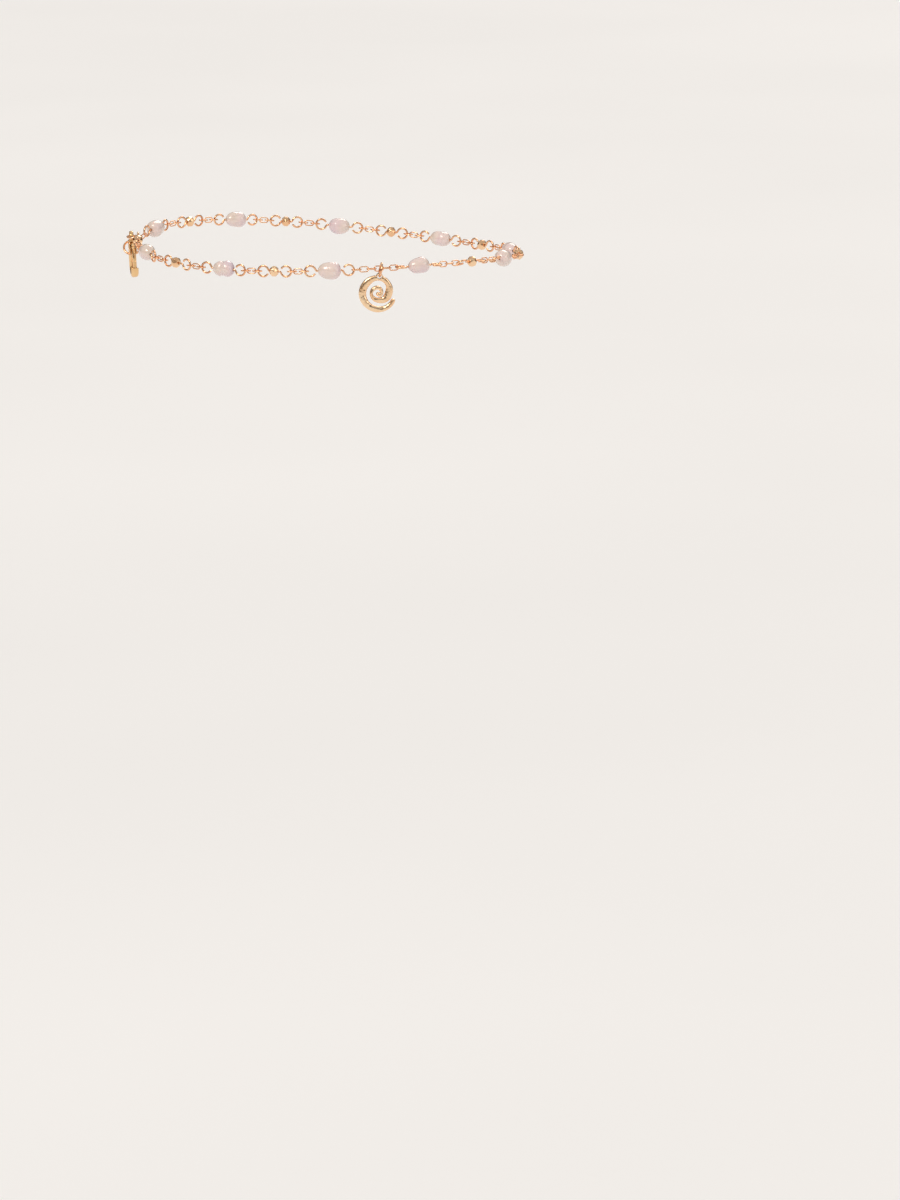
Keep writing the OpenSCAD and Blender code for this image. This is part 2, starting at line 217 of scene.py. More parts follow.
def new_material(name, values):
    """A Principled surface with its steady values on its own sockets."""
    material = bpy.data.materials.new(name)
    material.use_nodes = True
    tree = material.node_tree
    shader = tree.nodes["Principled BSDF"]
    join(tree, shader, values)
    place = add(tree, "ShaderNodeTexCoord").outputs["Object"]
    return material, tree, shader, place


def per_mm(size):
    """Texture scale for a pattern of that size in millimetres, on coordinates in metres."""
    return 1 / (size * MM)


# How far the drift moves a pearl's tone
DRIFT = 0.55


def make_nacre():
    # Freshwater pearl, tumbled and polished: a soft glow under a clear gloss, with wide drifts
    # of cream, pink, lavender and green over the white
    material, tree, shader, place = new_material(
        "nacre_polished",
        {
            "Metallic": 0.0,
            "IOR": 1.6,
            "Coat Weight": 0.6,
            "Coat Roughness": 0.13,
            "Coat IOR": 1.6,
            "Subsurface Weight": 0.2,
            "Subsurface Radius": (0.8 * MM, 0.65 * MM, 0.6 * MM),
            "Subsurface Scale": 1.0,
        },
    )
    drift = add(
        tree, NOISE, {"Vector": place, "Scale": per_mm(4.2), "Detail": 1.5, "Roughness": 0.5}
    )
    # Each pearl's own tone, moved a little by the drift
    own = add(tree, "ShaderNodeAttribute", attribute_name="tone").outputs["Fac"]
    toned = add(tree, MATH, [drift, DRIFT, own], operation="MULTIPLY_ADD")
    tint = add(
        tree,
        RAMP,
        {"Fac": toned},
        stops=[
            (0.3, "#dfd1c5"),
            (0.42, "#e9d9ce"),
            (0.5, "#efddd7"),
            (0.58, "#ebd6d8"),
            (0.68, "#e0ced9"),
        ],
    )
    gloss = add(tree, SPREAD, {"Value": drift, **NOISE_RANGE, "To Min": 0.2, "To Max": 0.3})
    # Growth lines and small pits, drawn a little coarser than on a real pearl so they show
    grain = add(tree, NOISE, {"Vector": place, "Scale": per_mm(0.7), "Detail": 2.0})
    bump = add(tree, BUMP, {"Height": grain, "Strength": 0.1, "Distance": 0.04 * MM})
    join(tree, shader, {"Base Color": tint, "Roughness": gloss, "Normal": bump})
    return material


def make_gold(name, colours, rough, grain, dent, strength):
    """Polished gold colour over a base metal: a drift between two tones, a roughness that
    varies with wear, and a bump whose grain and depth are in millimetres."""
    material, tree, shader, place = new_material(name, {"Metallic": 1.0})
    drift = add(tree, NOISE, {"Vector": place, "Scale": per_mm(2.2), "Detail": 2.0})
    tint = add(tree, RAMP, {"Fac": drift}, stops=[(0.35, colours[0]), (0.65, colours[1])])
    worn = add(tree, NOISE, {"Vector": place, "Scale": per_mm(0.5), "Detail": 3.0})
    gloss = add(
        tree, SPREAD, {"Value": worn, **NOISE_RANGE, "To Min": rough[0], "To Max": rough[1]}
    )
    marks = add(tree, NOISE, {"Vector": place, "Scale": per_mm(grain), "Detail": 3.0})
    bump = add(tree, BUMP, {"Height": marks, "Strength": strength, "Distance": dent * MM})
    join(tree, shader, {"Base Color": tint, "Roughness": gloss, "Normal": bump})
    return material


nacre = make_nacre()
# Gold filled wire, drawn and tumbled: a smooth bright line with faint draw marks
# Its rosy tone is partly the gold's own and partly a painted reflection of warm skin
wire_gold = make_gold(
    "gold_filled_wire_drawn",
    ("#efb48a", "#facda5"),
    rough=(0.14, 0.22),
    grain=0.3,
    dent=0.01,
    strength=0.2,
)
# Gold plated beads, cut and polished: flat bright facets
# Their rosy tone is partly the gold's own and partly a painted reflection of warm skin
cut_gold = make_gold(
    "gold_plated_beads_cut",
    ("#f4c193", "#fedab2"),
    rough=(0.1, 0.18),
    grain=0.25,
    dent=0.01,
    strength=0.15,
)
# Gold plated casting, hammered and polished: soft dents that break the shine
# Its peachy tone is partly the gold's own and partly a painted reflection of warm skin
cast_gold = make_gold(
    "gold_plated_casting_hammered",
    ("#fad0a4", "#ffe4c0"),
    rough=(0.2, 0.3),
    grain=0.5,
    dent=0.02,
    strength=0.25,
)
# Gold plated casting, tumbled smooth: plain yellow gold with a soft shine, no painted reflection
claw_gold = make_gold(
    "gold_plated_casting_tumbled",
    ("#ecbd84", "#f6cf9b"),
    rough=(0.18, 0.26),
    grain=0.5,
    dent=0.01,
    strength=0.15,
)


# Making pieces
def new_object(name, mesh):
    made = bpy.data.objects.new(name, mesh)
    bpy.context.scene.collection.objects.link(made)
    return made


def plain_mesh(name, points, edges=(), faces=()):
    mesh = bpy.data.meshes.new(name)
    mesh.from_pydata([tuple(p) for p in points], list(edges), list(faces))
    mesh.update()
    return mesh


def opened(*meshes):
    """A bmesh that holds these meshes."""
    work = bmesh.new()
    for mesh in meshes:
        work.from_mesh(mesh)
    return work


def put_back(work, mesh):
    """Writes a bmesh into a mesh and frees it."""
    work.to_mesh(mesh)
    work.free()
    return mesh


def face_outward(mesh):
    work = opened(mesh)
    bmesh.ops.recalc_face_normals(work, faces=work.faces)
    put_back(work, mesh)


def settle(made):
    """Turns what the modifiers give into the piece's own mesh."""
    graph = bpy.context.evaluated_depsgraph_get()
    mesh = bpy.data.meshes.new_from_object(
        made.evaluated_get(graph), preserve_all_data_layers=True, depsgraph=graph
    )
    made.modifiers.clear()
    made.data = mesh
    mesh.name = made.name
    return made


def dress(made, material, body, nodes, smooth=True):
    """Scales a finished piece to metres, gives it its material and seats it on its body."""
    made.data.transform(Matrix.Scale(MM, 4))
    made.data.materials.clear()
    made.data.materials.append(material)
    made.data.polygons.foreach_set("use_smooth", [smooth] * len(made.data.polygons))
    made.data.update()
    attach(made, body)
    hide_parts(*nodes)
    return made


def new_tree(name, sizes):
    """A geometry tree with named inputs. sizes gives each input's socket type."""
    tree = bpy.data.node_groups.new(name, "GeometryNodeTree")
    tree.interface.new_socket("Geometry", in_out="INPUT", socket_type="NodeSocketGeometry")
    for label, kind in sizes.items():
        tree.interface.new_socket(label, in_out="INPUT", socket_type=kind)
    tree.interface.new_socket("Geometry", in_out="OUTPUT", socket_type="NodeSocketGeometry")
    return tree, add(tree, "NodeGroupInput").outputs


def close_tree(tree, geometry, material):
    """Ends a tree: real geometry, with its material."""
    real = add(tree, "GeometryNodeRealizeInstances", {"Geometry": geometry})
    dressed = add(tree, "GeometryNodeSetMaterial", {"Geometry": real, "Material": material})
    add(tree, "NodeGroupOutput", {"Geometry": dressed})


def grow(name, mesh, tree, sizes):
    """Runs a tree on a mesh, with its inputs set by their identifiers, and keeps the result."""
    made = new_object(name, mesh)
    modifier = made.modifiers.new("shape", "NODES")
    modifier.node_group = tree
    for item in tree.interface.items_tree:
        if item.in_out == "INPUT" and item.name in sizes:
            modifier[item.identifier] = sizes[item.name]
    return settle(made)


FLOAT, WHOLE, MATTER = "NodeSocketFloat", "NodeSocketInt", "NodeSocketMaterial"
CIRCLE = "GeometryNodeCurvePrimitiveCircle"
TUBE = "GeometryNodeCurveToMesh"
NAMED = "GeometryNodeInputNamedAttribute"
MOVE = "GeometryNodeSetPosition"
POSITION = "GeometryNodeInputPosition"
GATHER = "ShaderNodeCombineXYZ"


def wire_tree():
    """Round wire along each strand of edges, as full at each point as the strand says."""
    tree, given = new_tree(
        "wire_along_strands", {"Wire": FLOAT, "Sides": WHOLE, "Material": MATTER}
    )
    strand = add(tree, "GeometryNodeMeshToCurve", {"Mesh": given["Geometry"]})
    half = add(tree, MATH, [given["Wire"], 0.5], operation="MULTIPLY")
    profile = add(tree, CIRCLE, {"Resolution": given["Sides"], "Radius": half})
    full = add(tree, NAMED, {"Name": "fullness"}, data_type="FLOAT")
    tube = add(
        tree, TUBE, {"Curve": strand, "Profile Curve": profile, "Scale": full, "Fill Caps": True}
    )
    close_tree(tree, tube, given["Material"])
    return tree


def link_tree():
    """An oval link at each point, along and flat to the point's two directions."""
    sizes = {"Straight": FLOAT, "Bend radius": FLOAT, "Wire": FLOAT, "Sides": WHOLE, "Steps": WHOLE}
    tree, given = new_tree("links_at_points", {**sizes, "Material": MATTER})
    ring = add(tree, CIRCLE, {"Resolution": given["Steps"], "Radius": given["Bend radius"]})
    across = add(tree, APART, [add(tree, POSITION)]).outputs["X"]
    side = add(tree, MATH, [across], operation="SIGN")
    pull = add(tree, MATH, [side, given["Straight"]], operation="MULTIPLY")
    oval = add(tree, MOVE, {"Geometry": ring, "Offset": add(tree, GATHER, {"X": pull})})
    half = add(tree, MATH, [given["Wire"], 0.5], operation="MULTIPLY")
    profile = add(tree, CIRCLE, {"Resolution": given["Sides"], "Radius": half})
    link = add(tree, TUBE, {"Curve": oval, "Profile Curve": profile})
    turned = add(
        tree,
        "FunctionNodeAxesToRotation",
        {
            "Primary Axis": add(tree, NAMED, {"Name": "along"}, data_type="FLOAT_VECTOR"),
            "Secondary Axis": add(tree, NAMED, {"Name": "upright"}, data_type="FLOAT_VECTOR"),
        },
        primary_axis="X",
        secondary_axis="Z",
    )
    placed = add(
        tree,
        "GeometryNodeInstanceOnPoints",
        {
            "Points": add(tree, "GeometryNodeMeshToPoints", {"Mesh": given["Geometry"]}),
            "Instance": link,
            "Rotation": turned,
        },
    )
    close_tree(tree, placed, given["Material"])
    return tree


wires = wire_tree()
links = link_tree()
# How full a wire is at its two ends, where it is cut
CUT_FULLNESS = 0.8


def strand_mesh(name, strands):
    """Strands of points as edges, each a little thinner at its two ends."""
    points, edges, fullness = [], [], []
    for strand in strands:
        first = len(points)
        points += strand
        edges += [(first + k, first + k + 1) for k in range(len(strand) - 1)]
        fullness += [CUT_FULLNESS] + [1.0] * (len(strand) - 2) + [CUT_FULLNESS]
    mesh = plain_mesh(name, points, edges)
    mesh.attributes.new("fullness", "FLOAT", "POINT").data.foreach_set("value", fullness)
    return mesh


# Pins
# An eye's whole sweep and where its bend joins the circle are in degrees, and the length
# of the bend and of the cut end in millimetres
EYE_SWEEP = 328
EYE_LEAD = 24
EYE_BEND = 0.32
CUT_STEP = 0.03
BEND_STEPS, RIM_STEPS = 6, 44
PIN_SIDES = 16


def eye_points():
    """Centre line of an eye about its own middle: it leaves the stem in a short bend and
    goes round below to its cut end beside the stem."""
    start = Vector((-EYE_RADIUS - EYE_BEND, 0, 0))
    corner = Vector((-EYE_RADIUS / cos(EYE_LEAD), 0, 0))
    joined = EYE_RADIUS * Vector((-cos(EYE_LEAD), 0, -sin(EYE_LEAD)))
    points = []
    for k in range(BEND_STEPS + 1):
        share = k / BEND_STEPS
        points.append(start.lerp(corner, share).lerp(corner.lerp(joined, share), share))
    for k in range(1, RIM_STEPS + 1):
        a = 180 + EYE_LEAD + (EYE_SWEEP - EYE_LEAD) * k / RIM_STEPS
        points.append(EYE_RADIUS * Vector((cos(a), 0, sin(a))))
    last = points[-1] - points[-2]
    return points + [points[-1] + last.normalized() * CUT_STEP]


def pin_strand(unit):
    """One wire from the first eye's cut end through the stem to the last eye's."""
    placed = seat(unit.middle, unit.along)
    out = Matrix.Translation((unit.reach, 0, 0)) @ turned_about("X", unit.turn_out)
    back = Matrix.Translation((-unit.reach, 0, 0)) @ turned_about("X", unit.turn_in)
    back = back @ turned_about("Y", 180)
    eye = eye_points()
    return [placed @ back @ p for p in reversed(eye)] + [placed @ out @ p for p in eye]


# Links
LINK_REACH = LINK_LENGTH - LINK_WIRE
LINK_RADIUS = (LINK_WIDTH - LINK_WIRE) / 2
LINK_STRAIGHT = LINK_REACH / 2 - LINK_RADIUS
PENDANT_LINKS, PLAIN_LINKS, END_LINKS = 6, 3, 2
LINK_SIDES, LINK_STEPS = 12, 36


def end_reach(wire):
    """From the middle of an end link to the middle of the wire that it hangs on."""
    return LINK_REACH / 2 - (wire + LINK_WIRE) / 2 - GAP


def link_run(start, end, count, wire_a, wire_b, turn_a, turn_b):
    """Place, direction and upright direction of each link of a run."""
    way = end - start
    taut = end_reach(wire_a) + end_reach(wire_b) + (count - 1) * (LINK_REACH - LINK_WIRE - GAP)
    slack = (taut - way.length) / (count + 1)
    twist = turn_b - turn_a - 90 * (count + 1)
    twist -= 180 * math.floor(twist / 180 + 0.5)
    rows = []
    for k in range(count):
        along = end_reach(wire_a) - slack + k * (LINK_REACH - LINK_WIRE - GAP - slack)
        roll = turn_a + (90 + twist / (count + 1)) * (k + 1) + 90
        placed = seat(start + along * way.normalized(), way, roll)
        rows.append((placed.translation, placed.col[0].xyz, placed.col[2].xyz))
    return rows


def unit_run(i):
    """The links between two neighbours: more of them between two pearls, for the drop."""
    a, b = units[i], units[i + 1]
    count = PENDANT_LINKS if a.kind == b.kind else PLAIN_LINKS
    start = a.last_eye + EYE_RADIUS * a.along
    end = b.first_eye - EYE_RADIUS * b.along
    return link_run(start, end, count, PIN_WIRE, PIN_WIRE, a.turn_out, b.turn_in)


def links_piece(name, node, rows):
    mesh = plain_mesh(name, [r[0] for r in rows])
    for label, column in (("along", 1), ("upright", 2)):
        values = [c for r in rows for c in r[column]]
        mesh.attributes.new(label, "FLOAT_VECTOR", "POINT").data.foreach_set("vector", values)
    sizes = {
        "Straight": LINK_STRAIGHT,
        "Bend radius": LINK_RADIUS,
        "Wire": LINK_WIRE,
        "Sides": LINK_SIDES,
        "Steps": LINK_STEPS,
        "Material": wire_gold,
    }
    dress(grow(name, mesh, links, sizes), wire_gold, "chain", [node])


# Where the clasp and its rings lie: how the claw is turned and tilted and its ring leans,
# and how far each hangs off the middle of what holds it
CLAW_TURN, CLAW_TILT = 8, 4
CLASP_LEAN = 28
CLASP_EYE_SEAT = 0.25
CLASP_RING_RADIUS = 1.5
CLAW_EYE_SAG = 0.22
END_RING_RADIUS = 1.7
END_HOLD = (0, -3.75)
clasp_way = Vector((-sin(CLASP_LEAN), cos(CLASP_LEAN), 0))
clasp_wire_spot = units[0].first_eye + CLASP_EYE_SEAT * clasp_way
clasp_ring_spot = clasp_wire_spot + CLASP_RING_RADIUS * clasp_way
claw_spot = clasp_wire_spot + 2 * CLASP_RING_RADIUS * clasp_way - Vector((0, 0, CLAW_EYE_SAG))
claw_out = Vector(
    (sin(CLAW_TURN) * cos(CLAW_TILT), -cos(CLAW_TURN), sin(CLAW_TURN) * sin(CLAW_TILT))
)
claw_across = Vector(
    (cos(CLAW_TURN) * cos(CLAW_TILT), sin(CLAW_TURN), cos(CLAW_TURN) * sin(CLAW_TILT))
)
claw_up = Vector((-sin(CLAW_TILT), 0, cos(CLAW_TILT)))

end_eye = units[-1].last_eye
end_hold_spot = claw_spot + END_HOLD[0] * claw_out + END_HOLD[1] * claw_up
end_far = end_eye - end_hold_spot
end_way = (end_far - end_far.dot(claw_across) * claw_across).normalized()
end_ring_spot = end_hold_spot + END_RING_RADIUS * end_way
end_pull = (end_ring_spot - end_eye).normalized()
end_ring_wire = end_ring_spot - END_RING_RADIUS * end_pull


def plane_turn(x, t):
    """The roll about x that brings a seat's up onto t."""
    y = Vector((0, 0, 1)).cross(x).normalized()
    return math.degrees(math.atan2(-t.dot(y), t.dot(x.cross(y))))


end_level = Vector((0, 0, 1)).cross(units[-1].along).normalized()
end_eye_wire = end_eye + EYE_RADIUS * (end_pull - end_pull.dot(end_level) * end_level).normalized()
end_ring_turn = plane_turn(end_pull, claw_across)


# Angle that a butted ring stands open on each side of its cut, and how far its ends reach
# past their last points, as a share of a step
RING_OPENING = 1.6
RING_END_SHARE = 0.2
RING_SIDES, RING_STEPS = 18, 72


def ring_strand(placed, radius, cut):
    """A jump ring in its own XY plane, its ends butted at the angle cut."""
    points = []
    for k in range(RING_STEPS + 1):
        a = cut + RING_OPENING + (360 - 2 * RING_OPENING) * k / RING_STEPS
        points.append(placed @ Vector((radius * cos(a), radius * sin(a), 0)))
    first = points[0] + (points[0] - points[1]) * RING_END_SHARE
    last = points[-1] + (points[-1] - points[-2]) * RING_END_SHARE
    return [first, *points, last]


def ring_piece(name, node, placed, radius, cut, body):
    mesh = strand_mesh(name, [ring_strand(placed, radius, cut)])
    sizes = {"Wire": RING_WIRE, "Sides": RING_SIDES, "Material": wire_gold}
    dress(grow(name, mesh, wires, sizes), wire_gold, body, [node])


# Pearls
# Length, thickness upward, thickness inward, taper, waist, lump and its side, and how blunt
# the end towards the last eye is
PEARL_FORMS = [
    (0.99, 0.99, 0.97, 0.05, 0.00, 0.05, 120, 2.3),
    (1.02, 1.02, 0.96, 0.12, 0.16, 0.06, 60, 2.5),
    (1.02, 1.04, 0.98, 0.08, 0.00, 0.05, 250, 3.2),
    (0.99, 1.00, 0.96, 0.16, 0.03, 0.10, 70, 2.3),
    (0.94, 1.03, 1.02, -0.06, 0.00, 0.07, 300, 2.3),
    (1.00, 0.98, 1.00, 0.08, 0.05, 0.06, 200, 2.3),
    (1.02, 0.96, 0.94, -0.10, 0.06, 0.07, 20, 2.6),
    (0.97, 1.02, 1.00, 0.04, 0.00, 0.08, 330, 2.3),
    (1.00, 1.00, 0.96, -0.12, 0.04, 0.06, 140, 2.3),
    (0.98, 1.04, 1.00, 0.10, 0.00, 0.07, 260, 2.8),
]
# Tone of each pearl's middle and how much it rises towards the last eye: cream and greenish
# are low, pink and lavender high
PEARL_TONES = [
    (0.46, 0.02),
    (0.50, 0.09),
    (0.48, 0.07),
    (0.57, -0.02),
    (0.45, 0.04),
    (0.51, 0.05),
    (0.47, -0.05),
    (0.54, 0.04),
    (0.50, -0.06),
    (0.46, 0.05),
]
ROUND_END = 2.3
PEARL_ROWS, PEARL_SIDES = 60, 56
HOLE_RADIUS = PIN_WIRE / 2 + GAP
# Share of the length at which a pearl meets its hole, and how far the hole's own edge lies in
PEARL_END = 0.984
BORE_INSET = 0.02
# How narrow a waist and a lump are, and where the lump lies
WAIST_NARROW, LUMP_NARROW, LUMP_PLACE = 18, 4, 0.3
# Low swellings: how close they lie and how far one pearl's noise is from the next's
SWELL_PITCH, SWELL_STEP = 0.75, 7.3
# Faint rings of growth: how strong, how close and how wavy they are
RING_SHARE, RING_PITCH, RING_WAVE = 0.12, 9, 2
# Both lie within this depth. They fade out over the last of the length and towards the hole
UNEVEN_DEPTH, FADE_RATE, WALL_THICK = 0.05, 6, 1.4


def pearl_swell(form, x, angle):
    """Distance of a pearl's surface from its hole's axis, for x from -1 to 1 along it."""
    _, _, _, taper, waist, lump, side, blunt = form
    power = blunt if x > 0 else ROUND_END
    narrowed = waist * math.exp(-WAIST_NARROW * x * x)
    full = math.sqrt(max(0.0, 1 - abs(x) ** power)) * (1 + taper * x - narrowed)
    bulge = lump * math.exp(-LUMP_NARROW * (x - LUMP_PLACE) ** 2) * cos(angle - side)
    return full * (1 + bulge) * PEARL_THICK / 2


def pearl_mesh(name, form, seed):
    """Rows of points from one end of the drilled hole to the other, and back through it."""
    length, tall, deep = form[:3]
    angles = [360 * j / PEARL_SIDES for j in range(PEARL_SIDES)]
    rows = []
    for k in range(PEARL_ROWS + 1):
        x = -PEARL_END * cos(180 * k / PEARL_ROWS)
        row = []
        for a in angles:
            swell = pearl_swell(form, x, a)
            at = (x * length * PEARL_LENGTH / 2, swell * deep * cos(a), swell * tall * sin(a))
            point = Vector(at)
            # The surface is only ever lowered, so it stays inside the pearl's own form
            rise = noise.noise(point * SWELL_PITCH + Vector((seed * SWELL_STEP, 0, 0)))
            ring = RING_SHARE * math.sin(point.x * RING_PITCH + RING_WAVE * rise)
            inward = UNEVEN_DEPTH * (1 - rise - ring) * min(1.0, FADE_RATE * (1 - abs(x)))
            wall = max(0.0, swell - HOLE_RADIUS)
            row.append(point - Vector((0, cos(a), sin(a))) * inward * wall / WALL_THICK)
        rows.append(row)
    bore_x = PEARL_END * length * PEARL_LENGTH / 2 - BORE_INSET
    for x in (bore_x, -bore_x):
        rows.append([Vector((x, HOLE_RADIUS * cos(a), HOLE_RADIUS * sin(a))) for a in angles])
    mesh = tube_mesh(name, rows)
    middle, slope = PEARL_TONES[seed - 1]
    tones = [middle - DRIFT / 2 + slope * v.co.x / (PEARL_LENGTH / 2) for v in mesh.vertices]
    mesh.attributes.new("tone", "FLOAT", "POINT").data.foreach_set("value", tones)
    return mesh


def tube_mesh(name, rows):
    """A closed tube whose last row joins its first."""
    sides = len(rows[0])
    faces = []
    for k in range(len(rows)):
        here, there = k * sides, (k + 1) % len(rows) * sides
        for j in range(sides):
            n = (j + 1) % sides
            faces.append((here + j, there + j, there + n, here + n))
    mesh = plain_mesh(name, [p for row in rows for p in row], faces=faces)
    face_outward(mesh)
    return mesh


# Gold beads
BEAD_SIDES = 8
BEAD_ROWS = [(-1, 0.55), (-0.38, 1), (0.38, 1), (1, 0.55)]
BEAD_SLIDE = 0.12
# Width and steps of the polished edges, where two facets meet at more than these degrees
BEAD_EDGE, BEAD_EDGE_STEPS, BEAD_FLAT = 0.035, 2, 12
# Place of the drop along the loop. Each bead lies against its eye that is further from it
DROP_ALONG = 10.8


def bead_mesh(name):
    """Eight corners to a row, each row turned half a corner, drilled along X."""
    work = bmesh.new()
    rows = []
    for k, (x, wide) in enumerate(BEAD_ROWS):
        row = []
        for j in range(BEAD_SIDES):
            a = 360 * (j + k / 2) / BEAD_SIDES
            r = wide * BEAD_WIDTH / 2
            row.append(work.verts.new((x * BEAD_LENGTH / 2, r * cos(a), r * sin(a))))
        rows.append(row)
    for k in range(len(rows) - 1):
        for j in range(BEAD_SIDES):
            n = (j + 1) % BEAD_SIDES
            work.faces.new((rows[k][j], rows[k][n], rows[k + 1][j]))
            work.faces.new((rows[k][n], rows[k + 1][n], rows[k + 1][j]))
    bores = []
    for side, row, shift in ((-1, rows[0], 0), (1, rows[-1], (len(BEAD_ROWS) - 1) / 2)):
        rim = []
        for j in range(BEAD_SIDES):
            a = 360 * (j + shift) / BEAD_SIDES
            at = (side * BEAD_LENGTH / 2, HOLE_RADIUS * cos(a), HOLE_RADIUS * sin(a))
            rim.append(work.verts.new(at))
        for j in range(BEAD_SIDES):
            n = (j + 1) % BEAD_SIDES
            work.faces.new((row[j], row[n], rim[n], rim[j]))
        bores.append(rim)
    for j in range(BEAD_SIDES):
        n = (j + 1) % BEAD_SIDES
        work.faces.new((bores[0][j], bores[0][n], bores[1][n], bores[1][j]))
    bmesh.ops.recalc_face_normals(work, faces=work.faces)
    return put_back(work, bpy.data.meshes.new(name))


# The drop
# Its place along its run of links, the sag of its ring on the link, how the whole is turned
# and how far the ring leans
DROP_PLACE = 5.6
DROP_SAG = 0.3
DROP_TURN = 5
DROP_LEAN = 10
DROP_RING_RADIUS = 1.35
SPIRAL_RADIUS = 3.85
SPIRAL_THICK = 1.1
SPIRAL_TOP = 1.32
SPIRAL_START = -20
EAR_BORE = 0.49
EAR_RIM = 0.22
EAR_THICK = 0.9
EAR_HANG = 0.06
SPIRAL_SHIFT = -0.28
drop_first = units[5].last_eye + EYE_RADIUS * units[5].along
drop_last = units[6].first_eye - EYE_RADIUS * units[6].along
drop_spot = drop_first + DROP_PLACE * (drop_last - drop_first).normalized()
at_drop = Matrix.Translation(drop_spot) @ turned_about("Z", DROP_TURN)
ear_side = -DROP_RING_RADIUS * sin(DROP_LEAN)
ear_low = DROP_SAG + DROP_RING_RADIUS * cos(DROP_LEAN) + EAR_HANG
spiral_centre = Vector((ear_side + SPIRAL_SHIFT, 0, -(SPIRAL_TOP + SPIRAL_RADIUS)))

# Turn from the outer end, then the radii of the band's outer and inner edge
SPIRAL_TABLE = [
    (0, 3.86, 2.94),
    (25, 3.95, 3.0),
    (70, 3.98, 2.72),
    (115, 3.95, 2.58),
    (160, 4.05, 2.5),
    (205, 3.95, 2.45),
    (250, 3.75, 2.65),
    (295, 3.42, 2.25),
    (340, 3.0, 1.4),
    (385, 2.5, 1.13),
    (430, 2.0, 0.92),
    (475, 1.84, 1.0),
    (520, 1.78, 1.12),
    (565, 1.7, 0.92),
    (610, 1.56, 0.78),
    (655, 1.25, 0.53),
    (700, 1.04, 0.32),
    (745, 0.9, 0.14),
]
TIP_RADIUS = 0.4
TIP_REACH = Vector((-0.06, 0, -0.15))
# The curve's readings go from 0 to 1, so the middle radii are shares of this one
SPIRAL_LARGEST = 4.0
SPIRAL_VOXEL, SPIRAL_ROUNDS = 0.045, 5


# Least share of a full end, and the power that flattens the band's faces
END_LEAST = 0.02
FACE_POWER = 0.6
# Only noise above this level dents the band. Dents grow from the least share to full between
# two distances along the worn way
DENT_LEVEL = 0.42
WORN_LEAST, WORN_FROM, WORN_TO = 0.3, -2.0, 2.5


